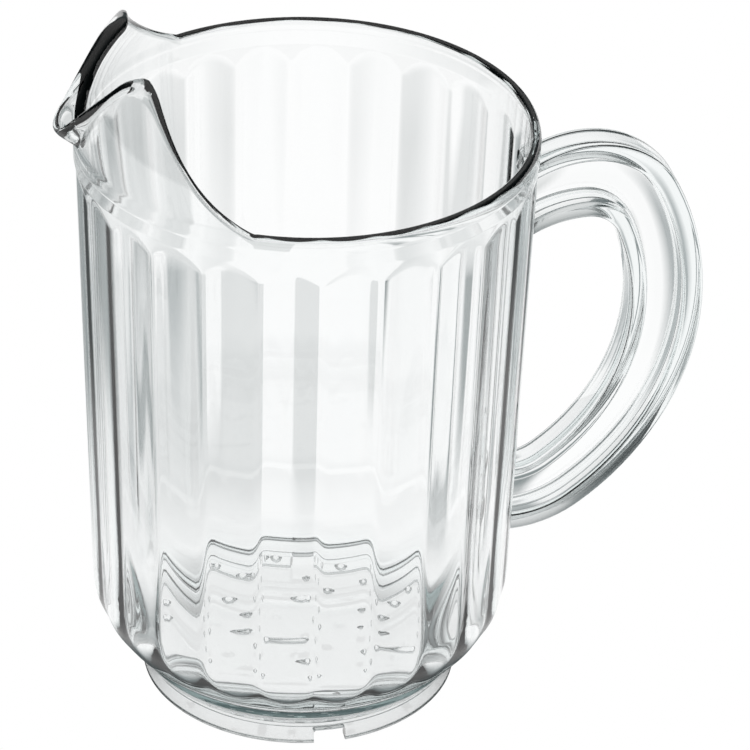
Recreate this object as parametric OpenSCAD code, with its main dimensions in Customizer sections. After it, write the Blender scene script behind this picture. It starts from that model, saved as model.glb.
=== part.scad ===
// Clear pitcher with a reeded barrel, an I section handle and a beaked spout
// Millimetres. The foot stands on z = 0, the handle points to +X and the spout to -X. The modules are
// drawn round the barrel's axis, and place() then puts the middle of the whole length on the origin.

/* [Barrel] */
// Outer diameter at the rim
rim_d = 133; // [118:1:148]
// Height of the rim above the table
rim_h = 183; // [170:1:205]
// Thickness of the rim, of the floor and of the wall without its grooves
wall = 3.2; // [2.8:0.1:3.6]
// Draft of the barrel wall, in degrees
draft = 1.5; // [0.8:0.1:2.2]
// Height of the plain band between the lobes and the rim
band_h = 8.5; // [6:0.5:14]

/* [Lobes] */
// Number of upright lobes round the barrel
lobe_count = 24; // [20:4:28]
// Radius of a lobe's round face at its top
lobe_r = 27.5; // [25:0.5:31]
// Distance by which the lobes' crests lie inside the band
lobe_in = 0.3; // [0.2:0.05:0.5]
// Width of the groove's floor between two lobes
groove_w = 1.8; // [1.2:0.1:2.4]
// Lean of the face that joins the band to the grooves, in degrees
band_slope = 10; // [9:0.5:14]
// Lean of the ledge that joins the collar to the grooves, in degrees
collar_slope = 55; // [50:1:60]

/* [Base] */
// Outer radius of the rounded shoulder
shoulder_r = 24; // [21:1:26]
// Height of the floor's underside above the table
floor_lift = 11; // [10:0.5:14]
// Angle along the shoulder at which the lobes stop and the foot collar starts, in degrees
collar_a = 54; // [50:1:58]
// Outer diameter of the foot
foot_d = 94; // [88:1:98]
// Thickness of the foot ring
foot_t = 3.8; // [3:0.1:5]
// Height of the ledge where the foot meets its collar
ledge_h = 8.8; // [7.5:0.1:9.5]
// Overhang of the collar past the foot
ledge_w = 1.8; // [1:0.1:2.2]
// Width of a drain notch in the foot
notch_w = 9.5; // [6:0.5:14]
// Height of a drain notch
notch_h = 4.6; // [3:0.1:6]

/* [Spout] */
// Angle from the spout's middle to where its edge leaves the rim, in degrees
spout_a = 66; // [62:1:70]
// Radius of the inward curve of the cheeks
hood_r = 37; // [34:1:44]
// Height of the cheek peaks above the rim
peak_h = 28; // [25:0.5:30]
// Distance by which the cheek peaks stand inside the rim's radius
peak_in = 17; // [15:0.5:18.5]
// Radius of a peak on the side of the rise
peak_r = 2.5; // [2:0.1:3.4]
// Radius of a peak on the side of the fall
crest_r = 9; // [7:0.5:11]
// Radius of the hollow rise from the rim to a peak
edge_r = 33; // [29:1:40]
// Slope of the edge from a peak down to the tip, in degrees
lip_a = 50; // [47:1:53]
// Half angle of the beak's V, in degrees
beak_a = 23.5; // [21:0.5:26]
// Climb of the beak's keel, in degrees
keel_a = 38; // [35:1:41]
// Depth of the keel below the rim where it leaves the barrel
keel_drop = 0.5; // [0.2:0.1:0.9]
// Outer radius of the keel
keel_r = 7.3; // [6.5:0.1:8]
// Thickness of the beak
beak_t = 2.5; // [2:0.1:3]

/* [Handle] */
// Distance by which the handle stands out from the rim's radius
handle_out = 52.5; // [46:0.5:60]
// Clearance between the rim and the handle's top
handle_top_gap = 12; // [10:0.5:20]
// Clearance between the shoulder and the handle's lower face
handle_low_gap = 5.4; // [4:0.2:14]
// Outer radius of the curve over the top, as a share of the handle's height
crown_share = 0.23; // [0.2:0.01:0.26]
// Outer radius of the curve that comes back to the barrel, as a share of the handle's height
toe_share = 0.275; // [0.25:0.005:0.3]
// Angle at which the long grip curve hands over to the crown on the outer flange, in degrees
crown_a = 27; // [25:1:29]
// Angle below level at which the grip hands over to the curve that comes back, in degrees
toe_a = 54; // [51:1:57]
// Radius of the crown inside the finger gap
gap_crown_r = 10; // [8:1:12]
// Hand over angle between grip and crown on the inner flange, in degrees
gap_crown_a = 23; // [21:1:25]
// Radius of the rise from the barrel to the crown
root_r = 33; // [30:1:40]
// Width of the flanges
handle_w = 11; // [9:0.5:13]
// Depth of the handle from outer to inner face
handle_depth = 22; // [20:0.5:24]
// Thickness of the outer flange
outer_t = 6; // [4:0.5:7]
// Thickness of the inner flange
inner_t = 5; // [4:0.5:6]
// Thickness of the web between the flanges
web_t = 3; // [2:0.5:5]

/* [Hidden] */
$fn = 240;
clear_plastic = [0.84, 0.89, 0.9, 0.55];

// Steps along a curve of the hood, the spout's edge or the handle
arc_steps = 6;
// Room by which a cutting shape runs past what it cuts
over = 0.5;
// Reach of the cutting shapes that only have to be larger than the pitcher
far = 2 * rim_d;

// Barrel
rim_r = rim_d / 2;
lip_r = wall / 2;
seat_z = rim_h - lip_r;
band_z = rim_h - band_h;
shoulder_z = floor_lift + shoulder_r;
shoulder_c = barrel_r(shoulder_z) - shoulder_r;
foot_r = foot_d / 2;

// A lobe is turned about an upright axis of its own, at this distance from the barrel's axis
lobe_axis = barrel_r(band_z) - lobe_in - lobe_r;
sector_a = 180 / lobe_count;

// Spout
peak_out = rim_r - peak_in;

// Handle: the crown and toe take their shares of the height, and the long grip curve spans the rest
handle_low_z = shoulder_z + handle_low_gap;
handle_h = rim_h - handle_top_gap - handle_low_z;
crown_r = crown_share * handle_h;
toe_r = toe_share * handle_h;
grip_r = (handle_h - crown_r * (1 - sin(crown_a)) - toe_r * (1 - sin(toe_a)))
    / (sin(crown_a) + sin(toe_a));
grip_c = [rim_r + handle_out - grip_r, handle_low_z + toe_r + (grip_r - toe_r) * sin(toe_a)];

// Outer radius of the barrel at a height
function barrel_r(z) = rim_r - (rim_h - z) * tan(draft);

// Point on the shoulder's outside at an angle below level
function shoulder_at(a) = [shoulder_c + shoulder_r * cos(a), shoulder_z - shoulder_r * sin(a)];

// Points of an arc, both ends included
function arc(c, r, from, to, steps = arc_steps) =
    [for (i = [0:steps]) let (a = from + (to - from) * i / steps) c + r * [cos(a), sin(a)]];

// The points of a list in the other direction, and all but its first
function back(list) = [for (i = [len(list) - 1:-1:0]) list[i]];
function rest(list) = [for (i = [1:len(list) - 1]) list[i]];

// Half angle of a lobe between the floors of its grooves, on a circle of radius r
function groove_a(r) = sector_a - asin(groove_w / 2 / r);

// Radius of the groove's floor beside lobes whose crests are at radius r
function groove_r(r) =
    let (a = groove_a(r))
    lobe_axis * cos(a) + sqrt((r - lobe_axis) ^ 2 - (lobe_axis * sin(a)) ^ 2);

// Depth of a groove below the band's line where the barrel meets the shoulder
groove_depth = barrel_r(shoulder_z) - groove_r(barrel_r(shoulder_z) - lobe_in);

// One lobe of the barrel as a whole cone round the lobe's own axis
module barrel_lobe() {
    low = shoulder_z - over;
    translate([lobe_axis, 0, low])
        cylinder(r1 = barrel_r(low) - lobe_in - lobe_axis, r2 = lobe_r, h = band_z - low);
}

// One lobe of the shoulder, down to the middle of the wall under the grooves
module shoulder_lobe() {
    low = shoulder_at(collar_a)[1] - over;
    high = shoulder_z + 1.6 * over;
    intersection() {
        translate([lobe_axis, 0, 0])
            rotate_extrude()
                intersection() {
                    translate([shoulder_c - lobe_axis, shoulder_z]) circle(shoulder_r - lobe_in);
                    translate([0, low]) square([shoulder_r, high - low]);
                }
        rotate_extrude()
            difference() {
                translate([shoulder_c, floor_lift]) square([shoulder_r + over, high - floor_lift]);
                shoulder_section(shoulder_r - (wall + groove_depth) / 2, 2 * over);
            }
    }
}

// A lobe in each sector, with the middle of one on +X. Its sides end inside the core.
module lobes() {
    start = shoulder_c + over;
    side = tan((sector_a + groove_a(rim_r)) / 2);
    for (i = [0:lobe_count - 1])
        rotate([0, 0, i * 2 * sector_a])
            intersection() {
                children();
                linear_extrude(rim_h)
                    polygon([start * [1, -side], rim_r * [1, -side], rim_r * [1, side], start * [1, side]]);
            }
}

// Tapered ring of the barrel's wall between two heights
module wall_ring(low, high) {
    rotate_extrude()
        polygon([[barrel_r(low) - wall, low], [barrel_r(low), low],
                 [barrel_r(high), high], [barrel_r(high) - wall, high]]);
}

// Plug under the lobes: up along the grooves' floors, then out to the band
module barrel_core() {
    low = shoulder_z - over;
    run_out = (barrel_r(band_z) - groove_r(lobe_axis + lobe_r)) / (tan(band_slope) - tan(draft));
    rotate_extrude()
        polygon([[0, low], [groove_r(barrel_r(low) - lobe_in), low],
                 [barrel_r(band_z) - run_out * tan(band_slope), band_z - run_out],
                 [barrel_r(band_z), band_z], [0, band_z]]);
}

module fluted_barrel() {
    bore_low = shoulder_z - 2 * over;
    bore_high = band_z + over;
    color(clear_plastic)
        difference() {
            union() {
                barrel_core();
                lobes() translate([0, 0, -over]) barrel_lobe();
            }
            rotate_extrude()
                polygon([[0, bore_low], [barrel_r(bore_low) - wall, bore_low],
                         [barrel_r(bore_high) - wall, bore_high], [0, bore_high]]);
            translate([0, 0, shoulder_z - far]) cylinder(r = rim_d, h = far);
        }
}

module rim_band() {
    color(clear_plastic) wall_ring(band_z, seat_z);
}

module rim_lip() {
    color(clear_plastic)
        rotate([0, 0, 180 + spout_a])
            rotate_extrude(angle = 360 - 2 * spout_a)
                intersection() {
                    translate([barrel_r(seat_z) - lip_r, seat_z]) circle(lip_r);
                    translate([barrel_r(seat_z) - wall, seat_z]) square(wall);
                }
}

// Curved wall of the hood that the cheeks are cut from, with its middle towards the spout
hood_top_a = 80;
hood_c = [rim_r - hood_r, rim_h];
hood_in = concat([[barrel_r(seat_z) - wall, seat_z]],
                 arc(hood_c, hood_r - wall, 0, hood_top_a, 2 * arc_steps));
hood_out = concat([[barrel_r(seat_z), seat_z]],
                  arc(hood_c, hood_r, 0, hood_top_a, 2 * arc_steps));

module hood() {
    rotate([0, 0, 180 - spout_a])
        rotate_extrude(angle = 2 * spout_a)
            polygon(concat(hood_out, back(hood_in)));
}

// Space inside the hood and the rim
module hood_core() {
    rotate_extrude()
        polygon(concat([[0, band_z], [hood_in[0][0], band_z]], hood_in,
                       [[0, hood_in[len(hood_in) - 1][1]]]));
}

// V trough along the climbing keel, with a round bottom of the given radius
module trough(bottom_r) {
    flank = peak_out;
    centre = [0, keel_r];
    end_r = centre + bottom_r * [cos(beak_a), -sin(beak_a)] + flank * [sin(beak_a), cos(beak_a)];
    translate([-rim_r, 0, rim_h - keel_drop])
        rotate([0, -keel_a, 180])
            rotate([90, 0, 90])
                linear_extrude(2 * rim_r, center = true)
                    polygon(concat([[-end_r[0], end_r[1]]],
                                   arc(centre, bottom_r, 180 + beak_a, 360 - beak_a),
                                   [end_r]));
}

// Side view of the spout's edge, out from the axis and up from the rim:
// a hollow rise from the rim, a peak that is rounder towards the tip, and a straight fall to the tip
edge_start = [rim_r * cos(spout_a), 0];
peak_c = [peak_out, peak_h - peak_r];
peak_gap = norm(peak_c - edge_start);
peak_dir = (peak_c - edge_start) / peak_gap;
rise_along = (edge_r ^ 2 - (edge_r + peak_r) ^ 2 + peak_gap ^ 2) / 2 / peak_gap;
rise_c = edge_start + rise_along * peak_dir
    + sqrt(edge_r ^ 2 - rise_along ^ 2) * [-peak_dir[1], peak_dir[0]];
rise_start_a = atan2(edge_start[1] - rise_c[1], edge_start[0] - rise_c[0]);
rise_end_a = atan2(peak_c[1] - rise_c[1], peak_c[0] - rise_c[0]);
crest_c = [peak_out, peak_h - crest_r];
peak_end = crest_c + crest_r * [sin(lip_a), cos(lip_a)];

// Everything below the spout's edge and above a height given from the rim
module under_edge(low) {
    fall = (peak_end[1] - low) / tan(lip_a);
    translate([0, 0, rim_h])
        rotate([90, 0, 180])
            linear_extrude(far, center = true)
                polygon(concat([[0, low], [0, 0]],
                               arc(rise_c, edge_r, rise_start_a, rise_end_a),
                               rest(arc(peak_c, peak_r, 180 + rise_end_a, 90)),
                               rest(arc(crest_c, crest_r, 90, 90 - lip_a)),
                               [[peak_end[0] + fall, low]]));
}

// One cheek: the hood below the edge and beside the beak, on one side of the middle plane
module cheek(side) {
    color(clear_plastic)
        intersection() {
            difference() {
                hood();
                trough(keel_r);
            }
            under_edge(-band_h);
            translate([-far, side > 0 ? 0 : -far, 0]) cube([far, far, far]);
        }
}

module left_cheek() {
    cheek(1);
}

module right_cheek() {
    cheek(-1);
}

module pour_beak() {
    color(clear_plastic)
        intersection() {
            difference() {
                trough(keel_r);
                trough(keel_r - beak_t);
                hood_core();
            }
            under_edge(-lip_r);
        }
}

// Quarter disc of the shoulder's section, with its corner at the middle of the curve
module shoulder_section(r, up = 0) {
    translate([shoulder_c, shoulder_z])
        intersection() {
            circle(r);
            translate([0, -r]) square([r, r + up]);
        }
}

// Plain shoulder up to the collar's edge, its ledge, and the core under the lobes
module shoulder_core() {
    collar = shoulder_at(collar_a);
    rise = groove_depth * tan(collar_slope);
    rotate_extrude() {
        intersection() {
            shoulder_section(shoulder_r);
            translate([0, floor_lift]) square([rim_r, collar[1] - floor_lift]);
        }
        polygon([[shoulder_c, collar[1] - over], [collar[0] - groove_depth, collar[1] - over], collar,
                 [collar[0] - 2 * groove_depth, collar[1] + 2 * rise], [shoulder_c, collar[1] + 2 * rise]]);
        shoulder_section(shoulder_r - groove_depth, over);
    }
}

// Space inside the shoulder
module shoulder_bore() {
    rotate_extrude() {
        shoulder_section(shoulder_r - wall, 2 * over);
        translate([0, floor_lift + wall]) square([shoulder_c, shoulder_r]);
    }
}

module base_shoulder() {
    color(clear_plastic)
        difference() {
            union() {
                difference() {
                    shoulder_core();
                    shoulder_bore();
                }
                lobes() shoulder_lobe();
            }
            translate([0, 0, shoulder_z]) cylinder(r = rim_d, h = far);
        }
}

module base_floor() {
    color(clear_plastic)
        translate([0, 0, floor_lift]) cylinder(r = shoulder_c, h = wall);
}

module foot_ring() {
    collar = shoulder_at(collar_a);
    color(clear_plastic)
        difference() {
            rotate_extrude()
                polygon([[foot_r - foot_t, 0], [foot_r, 0], [foot_r, ledge_h],
                         [foot_r + ledge_w, ledge_h], collar, [foot_r - foot_t, collar[1]]]);
            rotate_extrude() shoulder_section(shoulder_r);
            translate([0, 0, floor_lift]) cylinder(r = shoulder_c, h = shoulder_r);
            translate([-notch_w / 2, -foot_d, -over]) cube([notch_w, 2 * foot_d, notch_h + over]);
        }
}

// Side line of the handle at a depth below its outer face, from inside the barrel over the crown,
// down the grip and back into the barrel
function handle_line(depth, crown, from_a) =
    let (grip = grip_r - depth,
         crown_c = grip_c + (grip - crown) * [cos(from_a), sin(from_a)],
         root_c = crown_c + [0, crown - root_r],
         root_a = 45,
         root_end = root_c + root_r * [-sin(root_a), cos(root_a)],
         toe_c = grip_c + (grip_r - toe_r) * [cos(toe_a), -sin(toe_a)])
    concat([root_end - (root_end[0] - lobe_axis) * [1, tan(root_a)]],
           arc(root_c, root_r, 90 + root_a, 90),
           rest(arc(crown_c, crown, 90, from_a)),
           rest(arc(grip_c, grip, from_a, -toe_a, 2 * arc_steps)),
           rest(arc(toe_c, toe_r - depth, -toe_a, -90)),
           [[lobe_axis, toe_c[1] - toe_r + depth]]);

handle_face = handle_line(0, crown_r, crown_a);
outer_back = handle_line(outer_t, crown_r - outer_t, crown_a);
inner_back = handle_line(handle_depth - inner_t, gap_crown_r + inner_t, gap_crown_a);
gap_line = handle_line(handle_depth, gap_crown_r, gap_crown_a);

// Strip of the handle between two of its side lines, ended on the lobe that it grows from
module handle_strip(line, next_line, width) {
    color(clear_plastic)
        difference() {
            rotate([90, 0, 0])
                linear_extrude(width, center = true)
                    polygon(concat(line, back(next_line)));
            barrel_lobe();
        }
}

module handle_outer_flange() {
    handle_strip(handle_face, outer_back, handle_w);
}

module handle_inner_flange() {
    handle_strip(inner_back, gap_line, handle_w);
}

module handle_web() {
    handle_strip(outer_back, inner_back, web_t);
}

// Reach of the beak's tip from the barrel's axis, where the keel meets the edge's fall
tip_reach = (peak_end[1] + keel_drop + peak_end[0] * tan(lip_a) + rim_r * tan(keel_a))
    / (tan(lip_a) + tan(keel_a));
handle_reach = rim_r + handle_out;

module place() {
    translate([(tip_reach - handle_reach) / 2, 0, 0]) children();
}

place() fluted_barrel();
place() rim_band();
place() rim_lip();
place() left_cheek();
place() right_cheek();
place() pour_beak();
place() base_shoulder();
place() base_floor();
place() foot_ring();
place() handle_outer_flange();
place() handle_inner_flange();
place() handle_web();
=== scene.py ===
"""Clear fluted pitcher: one moulding of clear plastic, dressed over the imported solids."""
from math import acos, cos, pi, radians, sin, sqrt, tan

import bmesh
import bpy
import numpy as np
from bpy.props import FloatProperty, FloatVectorProperty, IntProperty, PointerProperty
from mathutils import Matrix, Vector


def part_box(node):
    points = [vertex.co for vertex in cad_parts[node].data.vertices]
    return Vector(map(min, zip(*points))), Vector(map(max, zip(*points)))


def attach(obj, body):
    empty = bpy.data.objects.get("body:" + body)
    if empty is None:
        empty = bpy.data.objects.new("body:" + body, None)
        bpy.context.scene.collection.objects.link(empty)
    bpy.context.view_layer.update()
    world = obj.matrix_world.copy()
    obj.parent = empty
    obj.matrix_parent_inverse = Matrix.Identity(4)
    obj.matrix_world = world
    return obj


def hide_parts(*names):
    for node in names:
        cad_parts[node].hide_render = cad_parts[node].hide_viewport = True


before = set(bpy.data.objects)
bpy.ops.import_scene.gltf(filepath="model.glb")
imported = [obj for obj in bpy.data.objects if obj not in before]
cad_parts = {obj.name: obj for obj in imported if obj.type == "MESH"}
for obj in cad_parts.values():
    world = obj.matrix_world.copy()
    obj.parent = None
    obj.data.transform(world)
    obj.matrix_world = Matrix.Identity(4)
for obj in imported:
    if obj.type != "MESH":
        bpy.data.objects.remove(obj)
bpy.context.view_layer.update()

bl_info = {
    "name": "Clear fluted pitcher",
    "version": (1, 0, 0),
    "blender": (4, 5, 0),
    "location": "View3D > Sidebar > Pitcher",
    "description": "Builds a clear moulded pitcher with its studio stage",
    "category": "Add Mesh",
}

BODY = "root"
PIECE = "pitcher_moulding"
MOULDED_NODES = ("fluted_barrel", "rim_band", "rim_lip", "left_cheek", "right_cheek", "pour_beak",
                 "base_shoulder", "base_floor", "foot_ring",
                 "handle_outer_flange", "handle_inner_flange", "handle_web")
MM = 0.001
WHITE, BLACK = (1, 1, 1), (0, 0, 0)
PAPER = (*WHITE, 1)

# The barrel's axis stands in the middle of the round floor
FLOOR_LOW, FLOOR_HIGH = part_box("base_floor")
AXIS_X = (FLOOR_LOW.x + FLOOR_HIGH.x) / 2

# Rings of the skin on each stretch, and steps along the handle
SHOULDER_RINGS, BARREL_RINGS, RUN_OUT_RINGS = 28, 8, 16
EDGE_RINGS, CAP_RINGS, BORE_RINGS, CORNER_RINGS = 30, 11, 10, 16
ROOT_STEPS, CROWN_STEPS, GRIP_STEPS, TOE_STEPS = 14, 14, 26, 12

# Columns of the skin, as shares of half a lobe, on most lobes and on those at the spout
PLAIN_COLUMNS = (0, 0.16, 0.32, 0.48, 0.63, 0.76, 0.86, 0.92, 0.955)
SPOUT_COLUMNS = (0, 0.06, 0.12, 0.19, 0.26, 0.33, 0.4, 0.47,
                 0.54, 0.61, 0.68, 0.75, 0.82, 0.88, 0.925, 0.96)
# How many lobes to each side of the spout's middle have the closer columns
SPOUT_LOBES = 1.6

# Rings on the flat of the floor, as shares of its radius
FLOOR_SHARES = (0.3, 0.65)
# Height about the lower edge of the bead under the rim, and share of its step there
BEAD_STEPS = ((-0.5 * MM, 0), (-0.15 * MM, 0.3), (0.15 * MM, 0.8), (0.5 * MM, 1))
FOOT_EDGE = 0.5 * MM
# Distance at which points merge, and length that counts as none
MERGE, TINY = 2e-6, 1e-6


def length(name, description, mm):
    """A size property with a default in millimetres."""
    return FloatProperty(name=name, description=description, default=mm * MM, unit="LENGTH", precision=4)


def angle(name, description, deg):
    """An angle property with a default in degrees."""
    return FloatProperty(name=name, description=description, default=radians(deg), unit="ROTATION")


def number(name, description, value):
    """A plain number property."""
    return FloatProperty(name=name, description=description, default=value, precision=4)


def count(name, description, value, least):
    """A whole number property."""
    return IntProperty(name=name, description=description, default=value, min=least)


def colour(name, description, rgb):
    """A colour property."""
    return FloatVectorProperty(name=name, description=description, default=rgb, subtype="COLOR",
                               size=3, min=0, max=1)


class PitcherBarrel(bpy.types.PropertyGroup):
    """Sizes of the barrel, its lobes, its base and its foot."""
    rim_r: length("Rim radius", "Outer radius at the rim", 66.49)
    rim_h: length("Rim height", "Height of the rim above the table", 183)
    wall: length("Wall", "Thickness of the wall without its grooves", 3.2)
    draft: angle("Draft", "Lean of the barrel's wall", 1.5)
    band_h: length("Band", "Plain height between the lobes and the rim", 8.5)
    edge_h: length("Edge", "Height over which the rim and the spout's edge round over", 2.8)
    bead_h: length("Bead", "Height of the slightly thicker stretch below the rim", 4.4)
    bead_t: length("Bead step", "How far the thicker stretch stands out", 0.12)
    lobes: count("Lobes", "Number of lobes round the barrel", 24, 8)
    lobe_r: length("Lobe radius", "Radius of a lobe's round face at its top", 27.5)
    lobe_in: length("Lobe inset", "How far the lobes lie inside the plain band", 0.3)
    groove_w: length("Groove", "Width of the groove's floor between two lobes", 1.8)
    groove_r: length("Groove softness", "Rounding of the groove's floor", 0.2)
    lobe_end_h: length("Lobe end", "Height over which the lobes run out below the band", 10)
    band_slope: angle("Band slope", "Lean of the face that joins the band to the lobes", 10)
    run_in: angle("Run in", "Stretch of the shoulder over which the grooves start above the collar", 44)
    shoulder_r: length("Shoulder radius", "Outer radius of the rounded shoulder", 24)
    floor_lift: length("Floor lift", "Height of the floor's underside", 11)
    collar_a: angle("Collar angle", "Where along the shoulder the grooves stop", 54)
    foot_r: length("Foot radius", "Outer radius of the foot", 47)
    foot_t: length("Foot thickness", "Thickness of the foot ring", 3.8)
    ledge_h: length("Ledge height", "Height of the ledge over the foot", 8.8)
    ledge_w: length("Ledge", "Overhang of the collar past the foot", 1.8)
    ledge_soft: length("Ledge softness", "Hollow rounding under the ledge", 1.3)
    step_h: length("Foot bead height", "Height of the bead inside the foot", 5.5)
    step_w: length("Foot bead", "How far the bead inside the foot stands out", 0.6)
    step_rise: number("Foot bead rise", "Half the bead's height as a share of how far it stands out", 1.4)
    corner_soft: length("Corner softness", "Rounding between the floor and the inside of the foot", 1.2)
    notch_w: length("Notch width", "Width of a drain notch", 9.5)
    notch_h: length("Notch height", "Height of a drain notch", 4.6)
    notch_soft: length("Notch softness", "Rounding of a drain notch's upper corners", 0.8)
    pips: count("Pips", "Number of moulding pips in the outer ring under the floor", 24, 3)
    pip_r: length("Pip radius", "Radius of a moulding pip", 1.4)
    pip_h: length("Pip height", "How far a moulding pip stands out", 2.0)
    pip_root: length("Pip root", "How far a moulding pip reaches into the floor", 0.6)
    pip_field: length("Pip field", "Radius that the rings of moulding pips are shares of", 38)


class PitcherSpout(bpy.types.PropertyGroup):
    """Sizes of the hooded spout and its beak."""
    spout_a: angle("Half width", "Angle from the middle to where the edge leaves the rim", 66)
    hood_r: length("Hood radius", "Radius of the inward curve of the cheeks", 37)
    peak_h: length("Peak height", "Height of the cheek peaks above the rim", 28)
    peak_in: length("Peak inset", "How far the peaks stand inside the rim's radius", 17)
    peak_r: length("Peak radius", "Rounding of a peak on the side of the rise", 2.5)
    crest_r: length("Crest radius", "Rounding of a peak on the side of the fall", 9)
    edge_r: length("Rise radius", "Radius of the hollow rise from the rim to a peak", 33)
    lip_a: angle("Fall", "Slope of the edge from a peak to the tip", 50)
    beak_a: angle("Beak half angle", "Half angle of the beak's V", 23.5)
    keel_a: angle("Keel climb", "Climb of the beak's keel", 38)
    keel_drop: length("Keel drop", "Depth of the keel below the rim where it leaves the barrel", 0.5)
    keel_r: length("Keel radius", "Outer radius of the keel", 7.3)
    beak_t: length("Beak wall", "Thickness of the beak", 2.5)
    fold: length("Fold softness", "Rounding where a cheek folds into the beak", 1.2)


class PitcherHandle(bpy.types.PropertyGroup):
    """Sizes of the I section handle."""
    out: length("Reach", "How far the handle stands out from the rim's radius", 52.5)
    top_gap: length("Top gap", "Clearance from the rim to the handle's top", 12)
    low_gap: length("Low gap", "Clearance from the shoulder to the handle's lower face", 5.4)
    crown_share: number("Crown share", "Crown radius as a share of the handle's height", 0.23)
    toe_share: number("Toe share", "Toe radius as a share of the handle's height", 0.275)
    crown_a: angle("Crown angle", "Where the grip hands over to the crown", 27)
    toe_a: angle("Toe angle", "Where the grip hands over to the toe", 54)
    gap_crown_r: length("Gap crown", "Radius of the crown inside the finger gap", 10)
    gap_crown_a: angle("Gap crown angle", "Where the inner flange hands over to its crown", 23)
    root_r: length("Root radius", "Radius of the rise from the barrel to the crown", 33)
    width: length("Width", "Width of the flanges", 11)
    depth: length("Depth", "Depth from the outer to the inner face", 22)
    outer_t: length("Outer flange", "Thickness of the outer flange", 6)
    inner_t: length("Inner flange", "Thickness of the inner flange", 5)
    web_t: length("Web", "Thickness of the web", 3)
    edge_r: length("Edge", "Rounding of the flange edges", 1.3)
    fillet: length("Fillet", "Rounding between web and flanges", 1.0)


class PitcherFinish(bpy.types.PropertyGroup):
    """Look of the clear plastic."""
    ior: number("Refraction", "Index of refraction of the plastic", 1.585)
    tint: colour("Tint", "Colour that thick plastic turns towards", (0.36, 0.60, 0.60))
    density: number("Tint density", "Absorption per metre", 10.0)
    haze: number("Haze", "Roughness of the polished surface", 0.012)
    scuff: number("Scuffs", "Extra roughness on the edges that wear", 0.08)
    scuff_scale: number("Scuff scale", "Fineness of the scuffs", 420.0)
    worn_from: number("Wear starts", "How sharp an edge is where its wear starts", 0.6)
    worn_full: number("Wear is full", "How sharp an edge is where its wear is full", 0.8)
    flow: number("Flow marks", "Strength of the faint waves left by the moulding", 0.06)
    flow_scale: number("Flow scale", "Fineness of the flow marks", 22.0)
    flow_h: length("Flow height", "Height of the flow marks at full strength", 1.5)
    crease: angle("Crease", "Edges sharper than this stay sharp in the shading", 42)


class PitcherStage(bpy.types.PropertyGroup):
    """Camera, floor and lights."""
    cam_turn: angle("Camera turn", "Turn of the view about the barrel's axis", 12)
    cam_climb: angle("Camera climb", "Elevation of the camera", 32.17)
    cam_distance: length("Camera distance", "Distance to the middle of the barrel", 1330)
    cam_pan: angle("Pan", "Aim to the right of the axis", 0.91)
    cam_tilt: angle("Tilt", "Aim above the barrel's middle", 0.29)
    cam_roll: angle("Roll", "Roll of the picture", 0.99)
    lens: number("Lens", "Focal length in millimetres", 217.5)
    sensor: number("Sensor", "Width of the camera's sensor in millimetres", 36)
    floor: colour("Floor", "Colour of the floor", (0.9, 0.9, 0.9))
    floor_r: length("Floor radius", "Radius of the floor", 6000)
    floor_drop: length("Floor drop", "Clearance between the floor and the foot", 0.2)
    white: number("Background", "Strength of the white background", 1.0)
    # Tones of the painted shade that the floor shows only in the plastic; the dark and pale ones also colour
    # the studio's ceiling and sides
    half: colour("Pale tone", "Palest tone of the floor, seen in the plastic", (0.745, 0.757, 0.757))
    grey: colour("Grey tone", "Middle tone of the floor, seen in the plastic", (0.42, 0.45, 0.455))
    dark: colour("Dark tone", "Darkest tone of floor and studio, seen in the plastic", (0.20, 0.235, 0.24))
    tone_r: length("Tone radius", "How far round the pitcher the floor has its tones", 330)
    tone_fade: number("Tone fade", "Where the tones have gone, as a share of their radius", 1.4)
    tone_side: length("Tone width", "Floor to each side of the axis that the tones are laid over", 250)
    tone_back: length("Tone depth", "Floor behind the axis that the tones are laid over", 400)
    shine: number("Table shine", "Share of mirror in the table, seen through the base", 0.22)
    sky: number("Ceiling", "Strength of the studio's upper half", 0.75)


def smooth_max(a, b, soft):
    """The larger of two arrays, rounded where they cross."""
    h = np.clip(0.5 + (a - b) / (2 * soft), 0, 1)
    return b + (a - b) * h + soft * h * (1 - h)


class Barrel:
    """Radii of the moulding's barrel and base, worked out from the sizes."""

    def __init__(self, p):
        self.p = p
        self.shoulder_z = p.floor_lift + p.shoulder_r
        self.shoulder_c = self.plain(self.shoulder_z) - p.shoulder_r
        self.lobe_top = p.rim_h - p.band_h
        self.full_z = self.lobe_top - p.lobe_end_h
        self.step = 2 * pi / p.lobes
        self.seat_z = p.rim_h - p.edge_h
        self.lobe_axis = self.plain(self.lobe_top) - p.lobe_in - p.lobe_r

    def plain(self, z):
        """Outer radius of the drafted wall, before the lobes are set into it."""
        return self.p.rim_r - (self.p.rim_h - z) * tan(self.p.draft)

    def lobe(self, local, r):
        """Radius of a lobe's round face at an angle off its middle, with its crest at r."""
        a = self.lobe_axis
        return a * np.cos(local) + np.sqrt(np.maximum((r - a) ** 2 - (a * np.sin(local)) ** 2, 0))

    def lobed(self, theta, r, core):
        """Outer radius round the barrel: lobes with their crests at r, over a plain core."""
        local = (theta + self.step / 2) % self.step - self.step / 2
        return smooth_max(self.lobe(local, r), np.full_like(theta, core), self.p.groove_r)

    def valley(self, r):
        """Radius of the bottom of a groove between two lobes with their crests at r."""
        return float(self.lobe(np.array([self.step / 2 - self.p.groove_w / 2 / r]), r)[0])

    def columns(self):
        """Angles of the mesh columns: closer at the grooves, and closest on the lobes at the spout."""
        out = []
        for i in range(self.p.lobes):
            middle = i * self.step
            steps = SPOUT_COLUMNS if abs(middle - pi) < SPOUT_LOBES * self.step else PLAIN_COLUMNS
            half = [-s for s in reversed(steps[1:])] + list(steps) + [1.0]
            out += [middle + s * self.step / 2 for s in half]
        return np.array(out)


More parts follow.
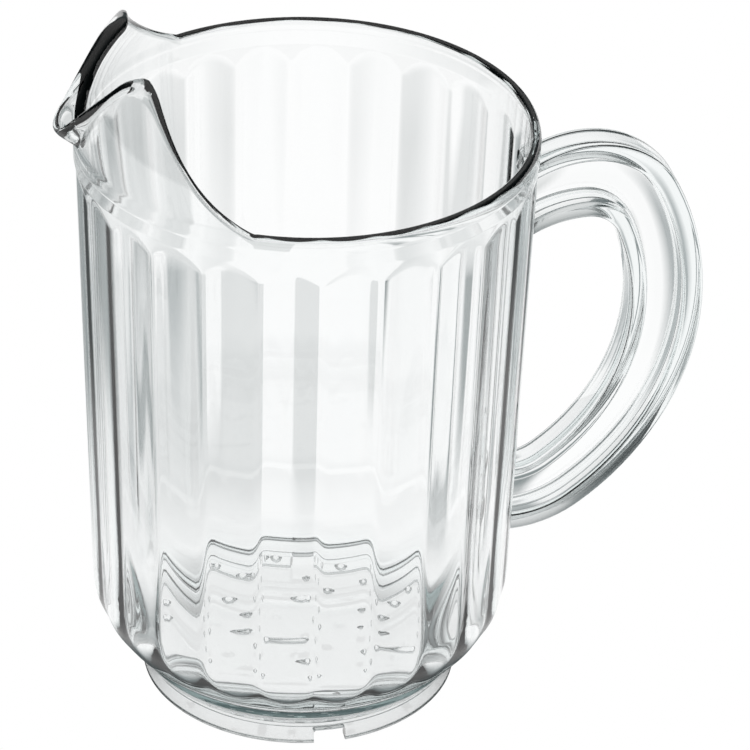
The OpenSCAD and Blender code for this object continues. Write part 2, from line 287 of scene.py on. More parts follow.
class Spout:
    """Walls and edge of the spout, out from the axis along s, across along w and up from the rim."""
    PEAK_SHARE = 0.52    # Share of the edge's columns between the rim and a peak
    SAMPLES = 4001       # Points at which the edge's length is measured
    HALVINGS = 40        # Steps in the search for the wall of the V

    def __init__(self, p, barrel):
        self.p, self.rim_r, self.wall = p, barrel.rim_r, barrel.wall
        self.start = np.array([self.rim_r * cos(p.spout_a), 0.0])
        self.peak = np.array([self.rim_r - p.peak_in, p.peak_h - p.peak_r])
        gap = np.linalg.norm(self.peak - self.start)
        u = (self.peak - self.start) / gap
        along = (p.edge_r ** 2 - (p.edge_r + p.peak_r) ** 2 + gap ** 2) / 2 / gap
        self.rise = self.start + along * u + sqrt(p.edge_r ** 2 - along ** 2) * np.array([-u[1], u[0]])
        to_peak = (self.peak - self.rise) / np.linalg.norm(self.peak - self.rise)
        self.rise_end = self.rise + p.edge_r * to_peak
        self.crest = np.array([self.peak[0], p.peak_h - p.crest_r])
        self.fall_start = self.crest + p.crest_r * np.array([sin(p.lip_a), cos(p.lip_a)])

    def edge_z(self, s):
        """Height of the spout's edge above the rim at a reach s."""
        p = self.p
        rise = self.rise[1] - np.sqrt(np.maximum(p.edge_r ** 2 - (s - self.rise[0]) ** 2, 0))
        top = self.peak[1] + np.sqrt(np.maximum(p.peak_r ** 2 - (s - self.peak[0]) ** 2, 0))
        crest = self.crest[1] + np.sqrt(np.maximum(p.crest_r ** 2 - (s - self.crest[0]) ** 2, 0))
        fall = self.fall_start[1] - (s - self.fall_start[0]) * tan(p.lip_a)
        past = np.where(s < self.fall_start[0], crest, fall)
        return np.where(s < self.rise_end[0], rise, np.where(s < self.peak[0], top, past))

    def hood(self, dz, inner):
        """Radius of the cheeks' wall at a height above the rim."""
        r = self.p.hood_r - (self.wall if inner else 0)
        return self.rim_r - self.p.hood_r + np.sqrt(np.maximum(r ** 2 - np.maximum(dz, 0) ** 2, 0))

    def trough_h(self, s, dz):
        """Height above the keel's line, square to it."""
        k = self.p.keel_a
        return -(s - self.rim_r) * sin(k) + (dz + self.p.keel_drop) * cos(k)

    def trough_w(self, h, inner):
        """Half width of the V at that height."""
        p = self.p
        r = p.keel_r - (p.beak_t if inner else 0)
        turn = p.keel_r - r * sin(p.beak_a)
        low = np.sqrt(np.maximum(r ** 2 - (p.keel_r - h) ** 2, 0)) * (h > p.keel_r - r)
        return np.where(h < turn, low, r * cos(p.beak_a) + (h - turn) * tan(p.beak_a))

    def edge_w(self, s, inner):
        """Half width of the spout at its edge."""
        dz = self.edge_z(s)
        hood = np.sqrt(np.maximum(self.hood(dz, inner) ** 2 - s ** 2, 0))
        return np.maximum(hood, self.trough_w(self.trough_h(s, dz), inner))

    def reach(self, psi, dz, inner):
        """Distance of the wall from the axis, at an angle off the middle and a height above the rim."""
        c, n = np.cos(psi), np.abs(np.sin(psi))
        low, high = np.zeros_like(psi), np.full_like(psi, 2 * self.rim_r)
        for _ in range(self.HALVINGS):
            mid = (low + high) / 2
            inside = mid * n < self.trough_w(self.trough_h(mid * c, dz), inner)
            low, high = np.where(inside, mid, low), np.where(inside, high, mid)
        return smooth_max(self.hood(dz, inner), low, self.p.fold)

    def edge_line(self, shares, inner):
        """Edge points s, w and dz at shares of the way from the rim to the tip."""
        p = self.p
        first = self.start[0] if not inner else (self.rim_r - self.wall) * cos(p.spout_a)
        s = np.linspace(first, self.rim_r + p.hood_r / 2, self.SAMPLES)
        w = self.edge_w(s, inner)
        z = self.edge_z(s)
        # The tip is where the V has no width left
        last = int(np.argmax(w <= 0)) if (w <= 0).any() else len(s) - 1
        s, w, z = s[:last + 1], w[:last + 1], z[:last + 1]
        pieces = np.sqrt(np.diff(s) ** 2 + np.diff(w) ** 2 + np.diff(z) ** 2)
        d = np.concatenate([[0], np.cumsum(pieces)])
        # Peak and tip of the inner and outer lines go together
        at_peak = float(np.interp(self.peak[0], s, d))
        t = np.interp(shares, [0, self.PEAK_SHARE, 1.0], [0, at_peak, d[-1]])
        return np.interp(t, d, s), np.interp(t, d, w), np.interp(t, d, z)


def ring(theta, r, z):
    """Points round the axis."""
    r, z = np.broadcast_to(r, theta.shape), np.broadcast_to(z, theta.shape)
    return np.stack([r * np.cos(theta), r * np.sin(theta), z], -1)


def base_rings(b, theta):
    """Rings from the middle of the underside out over the foot and up the collar."""
    p = b.p
    inner, outer, edge = p.foot_r - p.foot_t, p.foot_r, FOOT_EDGE
    under = acos((inner - b.shoulder_c) / p.shoulder_r)
    under_z = b.shoulder_z - p.shoulder_r * sin(under)
    collar = np.array([b.shoulder_c + p.shoulder_r * cos(p.collar_a),
                       b.shoulder_z - p.shoulder_r * sin(p.collar_a)])
    brow = np.array([outer + p.ledge_w, p.ledge_h])
    slope = (collar - brow) / np.linalg.norm(collar - brow)
    quarter = np.linspace(0, pi / 2, 4)
    # The underside stops just short of the foot's inner wall
    short, corner_start = 0.02, pi / 2.6
    points = [(share * b.shoulder_c, p.floor_lift) for share in FLOOR_SHARES]
    points += [(b.shoulder_c + p.shoulder_r * cos(a), b.shoulder_z - p.shoulder_r * sin(a))
               for a in np.linspace(pi / 2, under + short, 5)]
    # Corner and bead inside the foot, and the foot's two lower edges
    soft = p.corner_soft
    points += [(inner - soft * (1 - cos(a)), under_z - soft * (1 - sin(a)))
               for a in np.linspace(corner_start, 0, 5)]
    points += [(inner - p.step_w * sin(a), p.step_h + p.step_rise * p.step_w * cos(a))
               for a in np.linspace(0, pi, 7)]
    points += [(inner + edge * (1 - cos(a)), edge * (1 - sin(a))) for a in quarter]
    points += [(outer - edge * (1 - sin(a)), edge * (1 - cos(a))) for a in quarter]
    # Outer wall of the foot, the hollow under the ledge, and the collar
    soft = p.ledge_soft
    points += [(outer, p.ledge_h / 2)]
    points += [(outer + soft * (1 - cos(a)), p.ledge_h - soft * (1 - sin(a)))
               for a in np.linspace(0, pi / 2, 7)]
    points += [tuple(brow + edge * np.array([-0.3, 0.1])), tuple(brow + 0.5 * edge * slope),
               tuple(brow + 0.5 * (collar - brow)), tuple(collar - edge * slope)]
    return [ring(theta, r, z) for r, z in points]


def wall_rings(b, theta):
    """Rings up the lobed shoulder and barrel to the seat of the rim."""
    p = b.p
    rings = []
    crest = b.plain(b.shoulder_z) - p.lobe_in
    depth = crest - b.valley(crest)
    for a in np.linspace(p.collar_a, 0, SHOULDER_RINGS):
        r, z = b.shoulder_c + p.shoulder_r * cos(a), b.shoulder_z - p.shoulder_r * sin(a)
        # The grooves deepen smoothly above the collar, which rounds the lobes' lower ends
        t = min((p.collar_a - a) / p.run_in, 1)
        arc = p.shoulder_r - (p.lobe_in + depth) * t * t * (3 - 2 * t)
        core = b.shoulder_c + sqrt(arc ** 2 - (b.shoulder_z - z) ** 2)
        rings.append(ring(theta, b.lobed(theta, r - p.lobe_in, core), z))
    barrel = np.linspace(b.shoulder_z, b.full_z, BARREL_RINGS)[1:]
    run_out = np.linspace(b.full_z, b.lobe_top, RUN_OUT_RINGS)[1:]
    for z in np.concatenate([barrel, run_out]):
        r = b.plain(z) - p.lobe_in
        cone = b.plain(b.lobe_top) - (b.lobe_top - z) * tan(p.band_slope)
        rings.append(ring(theta, b.lobed(theta, r, max(b.valley(r), cone)), z))
    bead = p.rim_h - p.bead_h
    for z, out in [(bead + lift, out) for lift, out in BEAD_STEPS] + [(b.seat_z, 1)]:
        rings.append(ring(theta, b.plain(z) - (1 - out) * p.bead_t, z))
    return rings


def edge_rings(b, spout, theta):
    """Rings from the outer seat over the rim and the spout's edge to the inner seat."""
    p, round_h = b.p, b.p.edge_h
    # The angle off the spout's middle, and the columns that belong to the spout
    psi = theta % (2 * pi) - pi
    half = spout.p.spout_a
    inside = np.abs(psi) < half
    share = np.clip(1 - np.abs(psi) / half, 0, 1)
    sides = []
    for inner in (False, True):
        wall = p.wall if inner else 0
        s, w, dz = spout.edge_line(share, inner)
        psi_e = np.sign(psi) * np.arctan2(w, s)
        seat_r = b.plain(b.seat_z) - wall
        lengths = np.sqrt((s - seat_r * np.cos(psi)) ** 2 + (w - seat_r * np.abs(np.sin(psi))) ** 2
                          + (dz + round_h) ** 2)
        stop = np.clip(1 - round_h / np.maximum(lengths, round_h), 0, 1)
        path = []
        for v in np.linspace(0, 1, EDGE_RINGS):
            h = -round_h + (dz + round_h) * (v * stop)
            up = np.clip(h / np.maximum(dz, TINY), 0, 1)
            turn = psi + (psi_e - psi) * up
            below = seat_r + (spout.rim_r - wall - seat_r) * (1 + h / round_h)
            r = np.where(h > 0, spout.reach(turn, h, inner), below)
            path.append(ring(np.where(inside, turn, psi) + pi, np.where(inside, r, seat_r),
                             p.rim_h + np.where(inside, h, -round_h)))
        tip = np.stack([-s, -np.sign(psi) * w, p.rim_h + dz], -1)
        rim = ring(theta, b.plain(b.seat_z) - p.wall / 2, p.rim_h)
        sides.append((path, np.where(inside[:, None], tip, rim)))
    (outside, outer_top), (bore, inner_top) = sides
    a, c = outside[-1], bore[-1]
    middle, top = (a + c) / 2, (outer_top + inner_top) / 2
    cap = [middle + (a - c) / 2 * cos(t) + (top - middle) * sin(t)
           for t in np.linspace(0, pi, CAP_RINGS)[1:-1]]
    return outside[1:] + cap + bore[::-1]


def inside_rings(b, theta):
    """Rings down the smooth bore to the middle of the floor."""
    p = b.p
    rings = [ring(theta, b.plain(z) - p.wall, z)
             for z in np.linspace(b.seat_z, b.shoulder_z, BORE_RINGS)[1:-1]]
    r = p.shoulder_r - p.wall
    rings += [ring(theta, b.shoulder_c + r * cos(a), b.shoulder_z - r * sin(a))
              for a in np.linspace(0, pi / 2, CORNER_RINGS)]
    rings += [ring(theta, share * b.shoulder_c, p.floor_lift + p.wall) for share in reversed(FLOOR_SHARES)]
    return rings


def strips(rows, n, start=0):
    """Faces between rows of n points, each row closed to a ring."""
    return [(start + k * n + j, start + k * n + (j + 1) % n,
             start + (k + 1) * n + (j + 1) % n, start + (k + 1) * n + j)
            for k in range(rows - 1) for j in range(n)]


def add_mesh(name, verts, faces):
    """A mesh object in the scene."""
    mesh = bpy.data.meshes.new(name)
    mesh.from_pydata([tuple(v) for v in verts], [], faces)
    obj = bpy.data.objects.new(name, mesh)
    bpy.context.scene.collection.objects.link(obj)
    return obj


def close_up(obj):
    """Merges touching points and turns all faces outwards."""
    bm = bmesh.new()
    bm.from_mesh(obj.data)
    bmesh.ops.remove_doubles(bm, verts=bm.verts, dist=MERGE)
    bmesh.ops.dissolve_degenerate(bm, edges=bm.edges, dist=TINY)
    bmesh.ops.recalc_face_normals(bm, faces=bm.faces)
    bm.to_mesh(obj.data)
    bm.free()


def combine(name, verts, faces, operation):
    """Makes a closed shape, and joins it to the moulding or cuts it out of it."""
    obj, other = bpy.data.objects[PIECE], add_mesh(name, verts, faces)
    close_up(other)
    mod = obj.modifiers.new("combine", "BOOLEAN")
    mod.object, mod.operation, mod.solver = other, operation, "EXACT"
    bpy.context.view_layer.objects.active = obj
    with bpy.context.temp_override(object=obj, active_object=obj, selected_objects=[obj]):
        bpy.ops.object.modifier_apply(modifier=mod.name)
    bpy.data.objects.remove(other)


class PITCHER_OT_body(bpy.types.Operator):
    """Barrel, rim, spout, base and foot as one closed skin"""
    bl_idname = "pitcher.body"
    bl_label = "Moulded body"

    def execute(self, context):
        barrel = Barrel(context.scene.pitcher_barrel)
        spout = Spout(context.scene.pitcher_spout, barrel.p)
        theta = barrel.columns()
        rings = base_rings(barrel, theta) + wall_rings(barrel, theta)
        rings += edge_rings(barrel, spout, theta) + inside_rings(barrel, theta)
        p, n = barrel.p, len(theta)
        verts = np.concatenate(rings + [np.array([[0, 0, p.floor_lift], [0, 0, p.floor_lift + p.wall]])])
        verts[:, 0] += AXIS_X
        faces = strips(len(rings), n)
        # The two last points close the underside and the inside of the floor
        low, top = len(rings) * n, len(rings) * n + 1
        last = (len(rings) - 1) * n
        for j in range(n):
            i = (j + 1) % n
            faces.append((low, i, j))
            faces.append((top, last + j, last + i))
        close_up(add_mesh(PIECE, verts, faces))
        return {"FINISHED"}


def arc_points(c, r, start, end, steps):
    """Points of an arc in the handle's plane."""
    return [c + r * np.array([cos(a), sin(a)]) for a in np.linspace(start, end, steps + 1)]


def handle_line(h, b, depth, crown, from_a):
    """One side line of the handle, from inside the barrel's wall over the crown and back into it."""
    low_z = b.shoulder_z + h.low_gap
    height = b.p.rim_h - h.top_gap - low_z
    crown_out, toe_out = h.crown_share * height, h.toe_share * height
    grip_out = (height - crown_out * (1 - sin(h.crown_a)) - toe_out * (1 - sin(h.toe_a))) \
        / (sin(h.crown_a) + sin(h.toe_a))
    grip_c = np.array([b.p.rim_r + h.out - grip_out, low_z + toe_out + (grip_out - toe_out) * sin(h.toe_a)])
    grip = grip_out - depth
    crown = crown_out - depth if crown is None else crown
    crown_c = grip_c + (grip - crown) * np.array([cos(from_a), sin(from_a)])
    root_c = crown_c + np.array([0, crown - h.root_r])
    toe_c = grip_c + (grip_out - toe_out) * np.array([cos(h.toe_a), -sin(h.toe_a)])

    def wall_middle(z):
        """Middle of the wall's thickness at a lobe's crest."""
        return float(b.plain(z) - b.p.lobe_in - b.p.wall / 2)

    # The root curve runs on until it is half way into the wall
    lean, step = 0.0, radians(0.25)
    while root_c[0] - h.root_r * sin(lean) > wall_middle(root_c[1] + h.root_r * cos(lean)):
        lean += step
    points = arc_points(root_c, h.root_r, pi / 2 + lean, pi / 2, ROOT_STEPS)
    points += arc_points(crown_c, crown, pi / 2, from_a, CROWN_STEPS)[1:]
    points += arc_points(grip_c, grip, from_a, -h.toe_a, GRIP_STEPS)[1:]
    points += arc_points(toe_c, toe_out - depth, -h.toe_a, -pi / 2, TOE_STEPS)[1:]
    end = points[-1]
    points.append(np.array([wall_middle(end[1]), end[1]]))
    return np.array(points)


class PITCHER_OT_handle(bpy.types.Operator):
    """I section handle, grown into the barrel"""
    bl_idname = "pitcher.handle"
    bl_label = "Handle"

    def execute(self, context):
        h = context.scene.pitcher_handle
        b = Barrel(context.scene.pitcher_barrel)
        # Lines along the two faces of the outer flange, then of the inner flange
        lines = (handle_line(h, b, 0, None, h.crown_a),
                 handle_line(h, b, h.outer_t, None, h.crown_a),
                 handle_line(h, b, h.depth - h.inner_t, h.gap_crown_r + h.inner_t, h.gap_crown_a),
                 handle_line(h, b, h.depth, h.gap_crown_r, h.gap_crown_a))
        half, web, e, f = h.width / 2, h.web_t / 2, h.edge_r, h.fillet
        quarter = np.linspace(0, pi / 2, 5)
        # Half of the I section: the line to start from, the line to go towards, how far, and place across
        section = [(0, 1, e * (1 - sin(a)), half - e * (1 - cos(a))) for a in quarter[::-1]]
        section += [(0, 1, h.outer_t - e * (1 - sin(a)), half - e * (1 - cos(a))) for a in quarter]
        section += [(1, 2, f * (1 - cos(a)), web + f * (1 - sin(a))) for a in quarter]
        section += [(2, 1, f * (1 - cos(a)), web + f * (1 - sin(a))) for a in quarter[::-1]]
        section += [(2, 3, e * (1 - sin(a)), half - e * (1 - cos(a))) for a in quarter[::-1]]
        section += [(2, 3, h.inner_t - e * (1 - sin(a)), half - e * (1 - cos(a))) for a in quarter]
        rows = []
        for first, other, depth, y in section:
            way = lines[other] - lines[first]
            way = way / np.linalg.norm(way, axis=1)[:, None]
            xz = lines[first] + way * depth
            rows.append(np.stack([xz[:, 0], np.full(len(xz), y), xz[:, 1]], -1))
        rows += [r * np.array([1, -1, 1]) for r in reversed(rows)]
        n, m = len(rows), len(rows[0])
        verts = np.concatenate(rows)
        verts[:, 0] += AXIS_X
        faces = [(k * m + i, k * m + i + 1, (k + 1) % n * m + i + 1, (k + 1) % n * m + i)
                 for k in range(n) for i in range(m - 1)]
        faces += [tuple(k * m for k in range(n)), tuple(k * m + m - 1 for k in reversed(range(n)))]
        combine("handle_grip", verts, faces, "UNION")
        return {"FINISHED"}


class PITCHER_OT_notches(bpy.types.Operator):
    """Drain notches through the foot ring"""
    bl_idname = "pitcher.notches"
    bl_label = "Drain notches"

    def execute(self, context):
        p = context.scene.pitcher_barrel
        soft, half, top, below = p.notch_soft, p.notch_w / 2, p.notch_h, -2 * MM
        quarter = np.linspace(0, pi / 2, 5)
        outline = [(-half, below), (half, below)]
        outline += [(half - soft * (1 - cos(a)), top - soft * (1 - sin(a))) for a in quarter]
        outline += [(-half + soft * (1 - sin(a)), top - soft * (1 - cos(a))) for a in quarter]
        # One bar right across the foot cuts both notches
        n, reach = len(outline), 1.2 * p.foot_r
        verts = [(AXIS_X + x, y, z) for y in (-reach, reach) for x, z in outline]
        faces = [tuple(range(n)), tuple(range(2 * n - 1, n - 1, -1))]
        faces += [(i, n + i, n + (i + 1) % n, (i + 1) % n) for i in range(n)]
        combine("notch_cutter", verts, faces, "DIFFERENCE")
        return {"FINISHED"}


class PITCHER_OT_pips(bpy.types.Operator):
    """Small round moulding pips under the floor"""
    bl_idname = "pitcher.pips"
    bl_label = "Moulding pips"
    SIDES = 12           # Corners round a pip
    START = 0.3          # Where a ring of pips starts, as a share of its step

    def execute(self, context):
        p, n = context.scene.pitcher_barrel, self.SIDES
        turns = [2 * pi * i / n for i in range(n)]
        # Rings of a pip, from inside the floor down to near its point
        rings = [(p.pip_root, p.pip_r)]
        rings += [(-p.pip_h * sin(t), p.pip_r * cos(t) ** 2) for t in np.linspace(0, pi / 2, 4)[:-1]]
        verts, faces = [], []
        for share, pips in ((0.86, p.pips), (0.6, 2 * p.pips // 3), (0.32, p.pips // 3), (0.0, 1)):
            out = share * p.pip_field
            for k in range(pips):
                a = 2 * pi * (k + self.START) / pips
                c = np.array([AXIS_X + out * cos(a), out * sin(a), p.floor_lift])
                start = len(verts)
                for lift, r in rings:
                    verts += [c + np.array([r * cos(t), r * sin(t), lift]) for t in turns]
                verts.append(c - np.array([0, 0, p.pip_h]))
                point = len(verts) - 1
                last = point - n
                faces.append(tuple(start + i for i in range(n)))
                faces += strips(len(rings), n, start)
                faces += [(last + i, last + (i + 1) % n, point) for i in range(n)]
        combine("pips", verts, faces, "UNION")
        return {"FINISHED"}


def put(tree, socket, value):
    """Gives an input its value, or links it where the value is another node's output."""
    if isinstance(value, bpy.types.NodeSocket):
        tree.links.new(value, socket)
    else:
        socket.default_value = value


def new_node(tree, kind, **values):
    """A node with its inputs, each given as a value or a socket."""
    node = tree.nodes.new(kind)
    for key, value in values.items():
        put(tree, node.inputs[key.replace("_", " ")], value)
    return node


def maths(tree, operation, *values, kind="ShaderNodeMath"):
    """The result of a maths node."""
    node = tree.nodes.new(kind)
    node.operation = operation
    for socket, value in zip(node.inputs, values):
        put(tree, socket, value)
    return node.outputs["Value"]


def scaled(tree, value, low, high, first=0.0, last=1.0):
    """A value brought from one range to another and held in it."""
    return new_node(tree, "ShaderNodeMapRange", Value=value, From_Min=low, From_Max=high,
                    To_Min=first, To_Max=last).outputs[0]


def ramp(tree, place, stops):
    """Colours through the given stops, by a place from 0 to 1."""
    node = new_node(tree, "ShaderNodeValToRGB", Fac=place)
    elements = node.color_ramp.elements
    while len(elements) < len(stops):
        elements.new(0.5)
    for element, (at, tone) in zip(elements, stops):
        element.position, element.color = at, (*tone, 1)
    return node.outputs["Color"]


def blend(tree, kind, first, second, share):
    """A mix of two colours, each given as a value or a socket."""
    node = tree.nodes.new("ShaderNodeMix")
    node.data_type, node.blend_type = "RGBA", kind
    put(tree, node.inputs["Factor"], share)
    put(tree, node.inputs[6], first)
    put(tree, node.inputs[7], second)
    return node.outputs[2]


def mix_shaders(tree, share, first, second):
    """A mix of two shaders."""
    node = new_node(tree, "ShaderNodeMixShader", Fac=share)
    tree.links.new(first.outputs[0], node.inputs[1])
    tree.links.new(second.outputs[0], node.inputs[2])
    return node


def new_material(name):
    """A material that has only its output node, with its tree and that node."""
    mat = bpy.data.materials.new(name)
    mat.use_nodes = True
    mat.node_tree.nodes.clear()
    return mat, mat.node_tree, mat.node_tree.nodes.new("ShaderNodeOutputMaterial")


def clear_plastic(f):
    """Polished clear plastic that turns grey green where light has far to go in it."""
    mat, tree, out = new_material("clear_plastic")
    shader = new_node(tree, "ShaderNodeBsdfPrincipled", Base_Color=PAPER, IOR=f.ior,
                      Transmission_Weight=1.0, Roughness=f.haze)
    tree.links.new(shader.outputs["BSDF"], out.inputs["Surface"])
    # Faint flow marks of the moulding, and scuffs on the edges that wear
    place = tree.nodes.new("ShaderNodeTexCoord").outputs["Object"]
    flow = new_node(tree, "ShaderNodeTexNoise", Vector=place, Scale=f.flow_scale, Detail=2.0, Roughness=0.4)
    bump = new_node(tree, "ShaderNodeBump", Strength=f.flow, Distance=f.flow_h, Height=flow.outputs["Fac"])
    tree.links.new(bump.outputs["Normal"], shader.inputs["Normal"])
    speck = new_node(tree, "ShaderNodeTexNoise", Vector=place, Scale=f.scuff_scale, Detail=4.0, Roughness=0.6)
    edge = tree.nodes.new("ShaderNodeNewGeometry").outputs["Pointiness"]
    worn = scaled(tree, edge, f.worn_from, f.worn_full, 0.0, f.scuff)
    dull = maths(tree, "MULTIPLY_ADD", speck.outputs["Fac"], worn, f.haze)
    tree.links.new(dull, shader.inputs["Roughness"])
    inside = new_node(tree, "ShaderNodeVolumeAbsorption", Color=(*f.tint, 1), Density=f.density)
    tree.links.new(inside.outputs["Volume"], out.inputs["Volume"])
    return mat


class PITCHER_OT_finish(bpy.types.Operator):
    """Clear plastic on the moulding, and its place in the frame"""
    bl_idname = "pitcher.finish"
    bl_label = "Clear plastic"

    def execute(self, context):
        obj, finish = bpy.data.objects[PIECE], context.scene.pitcher_finish
        close_up(obj)
        obj.data.materials.clear()
        obj.data.materials.append(clear_plastic(finish))
        for poly in obj.data.polygons:
            poly.use_smooth = True
        obj.data.set_sharp_from_angle(angle=finish.crease)
        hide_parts(*MOULDED_NODES)
        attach(obj, BODY)
        return {"FINISHED"}


def turned(s):
    """Place on the barrel's axis, turned to the photograph's view."""
    return Matrix.Translation((AXIS_X, 0, 0)) @ Matrix.Rotation(-s.cam_turn, 4, "Z")


def painted_shade_layers(s):
    """Rows of painted floor shade from left to right, each with the depth behind the axis at which it shows.
    """
    half, grey, dark = s.half, s.grey, s.dark
    # Near the pitcher narrow strips of painted shadow lie to its left, and one to its right
    near = ((0.285, half), (0.30, dark), (0.32, dark), (0.335, half), (0.35, half), (0.37, grey),
            (0.38, grey), (0.40, half), (0.482, half), (0.492, WHITE), (0.595, WHITE),
            (0.615, dark), (0.64, dark), (0.65, WHITE))
    near_depth = ((0.10, BLACK), (0.27, WHITE), (0.565, WHITE), (0.60, BLACK))
    # Further back the middle is white, with pale painted shade beside it
    far = ((0.37, half), (0.45, WHITE), (0.55, WHITE), (0.62, half), (0.66, half), (0.68, WHITE))
    far_depth = ((0.565, BLACK), (0.60, WHITE))
    # Behind the pitcher both ends turn grey with painted shade
    ends = ((0.20, grey), (0.31, WHITE), (0.75, WHITE), (0.81, grey))
    ends_depth = ((0.20, BLACK), (0.30, WHITE))
    return (near, near_depth), (far, far_depth), (ends, ends_depth)


# Distances from the axis, in metres: where the front's painted tones and the foot's painted shadow go over
# into the rest, and how far out the foot's painted shadow is laid
FRONT_FADE, FOOT_FADE, FOOT_FIELD = (-0.15, -0.09), (0.01, 0.045), 0.1


def painted_floor_shade(tree, s, place, away):
    """Painted shade and shadow that the floor has for rays from the plastic. They lie round the pitcher only.
    """
    split = new_node(tree, "ShaderNodeSeparateXYZ", Vector=place).outputs
    across = scaled(tree, split["X"], -s.tone_side, s.tone_side)
    back = scaled(tree, split["Y"], 0.0, s.tone_back)
    # In front of the pitcher both ends are pale with painted shade
    front = scaled(tree, split["Y"], *FRONT_FADE, 1.0, 0.0)
    ends = ramp(tree, across, ((0.14, s.half), (0.26, WHITE), (0.77, WHITE), (0.84, s.half)))
    tones = blend(tree, "MIX", PAPER, ends, front)
    for stops, depth in painted_shade_layers(s):
        layer = blend(tree, "MIX", PAPER, ramp(tree, across, stops), ramp(tree, back, depth))
        tones = blend(tree, "MULTIPLY", tones, layer, 1.0)
    # Painted shadow darkens the floor in front, where the shoulder hangs over the foot
    near = scaled(tree, away, 0.0, FOOT_FIELD)
    painted_foot_shadow = ramp(tree, near, ((0.44, WHITE), (0.47, BLACK), (0.56, s.dark), (0.70, WHITE)))
    ahead = scaled(tree, split["Y"], *FOOT_FADE, 1.0, 0.0)
    tones = blend(tree, "MULTIPLY", tones, blend(tree, "MIX", PAPER, painted_foot_shadow, ahead), 1.0)
    # The painted tones fade further out, so that the pitcher stays clear from the other sides
    fade = scaled(tree, away, s.tone_r, s.tone_fade * s.tone_r)
    return blend(tree, "MIX", tones, PAPER, fade)


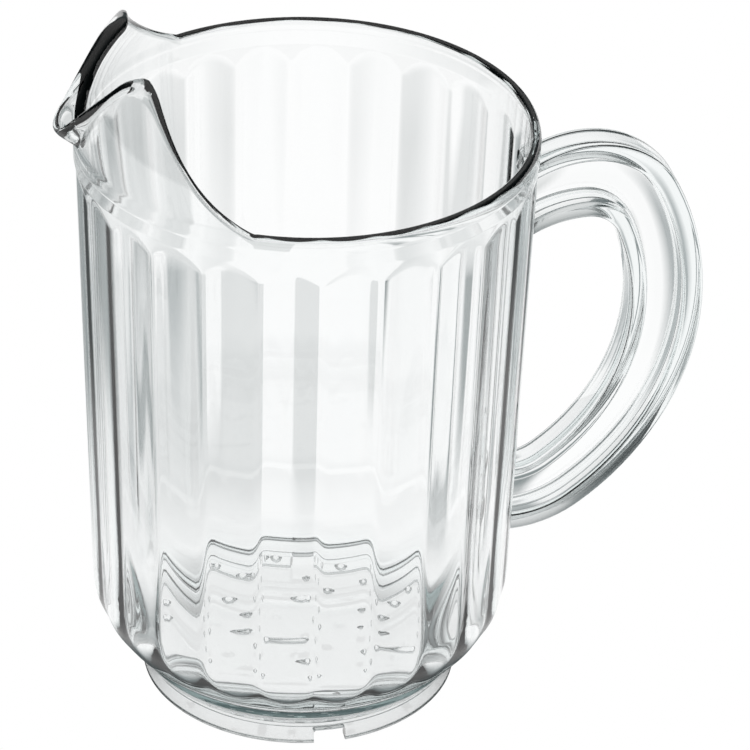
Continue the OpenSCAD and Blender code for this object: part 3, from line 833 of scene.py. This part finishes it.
class PITCHER_OT_stage(bpy.types.Operator):
    """Camera, pale floor, white background and soft lights"""
    bl_idname = "pitcher.stage"
    bl_label = "Stage"
    FLOOR_SIDES = 96
    CLIP = (0.05, 50)                # Nearest and furthest that the camera sees
    SHINE_RADII = (0.043, 0.047)     # Where the table's shine starts to fade, and where it has gone
    AIM = Vector((0, 0, 0.1))        # Point that the lamps face
    LAMPS = (("key", (-0.7, -0.6, 1.1), 0.7, 9.0), ("fill", (0.8, -0.7, 1.1), 0.6, 6.0))

    def execute(self, context):
        s, scene = context.scene.pitcher_stage, context.scene
        scene.view_settings.view_transform = "Standard"
        self.camera(context, s)
        self.floor(s)
        self.world(scene, s)
        self.lights()
        return {"FINISHED"}

    def camera(self, context, s):
        """The photograph's view: climb, then pan, tilt and roll, turned about the barrel's axis."""
        ahead = Vector((0, cos(s.cam_climb), -sin(s.cam_climb)))
        up, right = Vector((0, sin(s.cam_climb), cos(s.cam_climb))), Vector((1, 0, 0))
        place = Vector((0, 0, context.scene.pitcher_barrel.rim_h / 2)) - ahead * s.cam_distance

        def swing(first, second, a):
            """Turns two of the camera's directions, the first towards the second."""
            return first * cos(a) + second * sin(a), second * cos(a) - first * sin(a)

        ahead, right = swing(ahead, right, s.cam_pan)
        ahead, up = swing(ahead, up, s.cam_tilt)
        right, up = swing(right, up, s.cam_roll)
        pose = Matrix((right, up, -ahead)).transposed().to_4x4()
        pose.translation = place
        cam = bpy.data.objects.new("camera", bpy.data.cameras.new("camera"))
        cam.data.lens, cam.data.sensor_width = s.lens, s.sensor
        cam.data.clip_start, cam.data.clip_end = self.CLIP
        bpy.context.scene.collection.objects.link(cam)
        cam.matrix_world = turned(s) @ pose
        bpy.context.scene.camera = cam

    def floor(self, s):
        """A wide round floor that looks white and keeps the shadow, with painted shade for rays from the
        plastic.
        """
        n, r = self.FLOOR_SIDES, s.floor_r
        verts = [(r * cos(2 * pi * i / n), r * sin(2 * pi * i / n), -s.floor_drop) for i in range(n)]
        floor = add_mesh("floor", verts, [tuple(range(n))])
        floor.matrix_world = turned(s)
        mat, tree, out = new_material("pale_floor")
        matt = new_node(tree, "ShaderNodeBsdfDiffuse", Color=(*s.floor, 1))
        path = tree.nodes.new("ShaderNodeLightPath").outputs
        place = tree.nodes.new("ShaderNodeTexCoord").outputs["Object"]
        away = maths(tree, "LENGTH", place, kind="ShaderNodeVectorMath")
        # The camera sees white, and rays from the plastic see the painted shade
        tone = blend(tree, "MIX", painted_floor_shade(tree, s, place, away), PAPER, path["Is Camera Ray"])
        glow = new_node(tree, "ShaderNodeEmission", Strength=s.white, Color=tone)
        seen = maths(tree, "MAXIMUM", path["Is Camera Ray"], path["Is Glossy Ray"])
        seen = maths(tree, "MAXIMUM", seen, path["Is Transmission Ray"])
        top = mix_shaders(tree, seen, matt, glow)
        # Under the pitcher the table shines a little, which only shows through the base
        shine = new_node(tree, "ShaderNodeBsdfGlossy", Color=PAPER, Roughness=0.0)
        under = scaled(tree, away, *self.SHINE_RADII, s.shine, 0.0)
        top = mix_shaders(tree, maths(tree, "MULTIPLY", path["Is Transmission Ray"], under), top, shine)
        tree.links.new(top.outputs[0], out.inputs["Surface"])
        floor.data.materials.append(mat)

    def world(self, scene, s):
        """White to the camera, with a grey ceiling and dark sides for what the plastic mirrors and bends."""
        scene.world = bpy.data.worlds.new("studio")
        scene.world.use_nodes = True
        tree = scene.world.node_tree
        tree.nodes.clear()
        out = tree.nodes.new("ShaderNodeOutputWorld")
        place = tree.nodes.new("ShaderNodeTexCoord").outputs["Generated"]
        split = new_node(tree, "ShaderNodeSeparateXYZ", Vector=place).outputs
        climb = ramp(tree, split["Z"], ((0.0, s.dark), (0.25, s.dark), (0.55, s.half), (0.9, WHITE)))
        # Dark cloth hangs on both sides and draws the plastic's edges
        right = (cos(s.cam_turn), -sin(s.cam_turn), 0)
        side = maths(tree, "DOT_PRODUCT", place, right, kind="ShaderNodeVectorMath")
        cloth = ramp(tree, maths(tree, "ABSOLUTE", side), ((0.55, WHITE), (0.75, s.dark)))
        studio = blend(tree, "MULTIPLY", climb, cloth, 1.0)
        sky = new_node(tree, "ShaderNodeBackground", Color=studio, Strength=s.sky)
        white = new_node(tree, "ShaderNodeBackground", Color=PAPER, Strength=s.white)
        seen = tree.nodes.new("ShaderNodeLightPath").outputs["Is Camera Ray"]
        tree.links.new(mix_shaders(tree, seen, sky, white).outputs[0], out.inputs["Surface"])

    def lights(self):
        """Two soft boxes."""
        for name, place, size, power in self.LAMPS:
            lamp = bpy.data.lights.new(name, "AREA")
            lamp.size, lamp.energy = size, power
            obj = bpy.data.objects.new(name, lamp)
            bpy.context.scene.collection.objects.link(obj)
            obj.location = place
            obj.visible_glossy = obj.visible_transmission = False
            obj.rotation_euler = (self.AIM - Vector(place)).to_track_quat("-Z", "Y").to_euler()


class PITCHER_PT_panel(bpy.types.Panel):
    """Sidebar panel with the sizes and the steps"""
    bl_idname = "PITCHER_PT_panel"
    bl_label = "Clear pitcher"
    bl_space_type = "VIEW_3D"
    bl_region_type = "UI"
    bl_category = "Pitcher"

    def draw(self, context):
        for group in GROUPS:
            box = self.layout.box()
            data = getattr(context.scene, group)
            for name in data.__annotations__:
                box.prop(data, name)
        for step in STEPS:
            self.layout.operator(step.bl_idname)


GROUPS = {"pitcher_barrel": PitcherBarrel, "pitcher_spout": PitcherSpout, "pitcher_handle": PitcherHandle,
          "pitcher_finish": PitcherFinish, "pitcher_stage": PitcherStage}
STEPS = (PITCHER_OT_stage, PITCHER_OT_body, PITCHER_OT_handle, PITCHER_OT_notches, PITCHER_OT_pips,
         PITCHER_OT_finish)


def register():
    for cls in (*GROUPS.values(), *STEPS, PITCHER_PT_panel):
        bpy.utils.register_class(cls)
    for name, cls in GROUPS.items():
        setattr(bpy.types.Scene, name, PointerProperty(type=cls))


def unregister():
    for name in GROUPS:
        delattr(bpy.types.Scene, name)
    for cls in reversed((*GROUPS.values(), *STEPS, PITCHER_PT_panel)):
        bpy.utils.unregister_class(cls)


def main():
    register()
    bpy.ops.pitcher.stage()
    bpy.ops.pitcher.body()
    bpy.ops.pitcher.handle()
    bpy.ops.pitcher.notches()
    bpy.ops.pitcher.pips()
    bpy.ops.pitcher.finish()


if __name__ == "__main__":
    main()
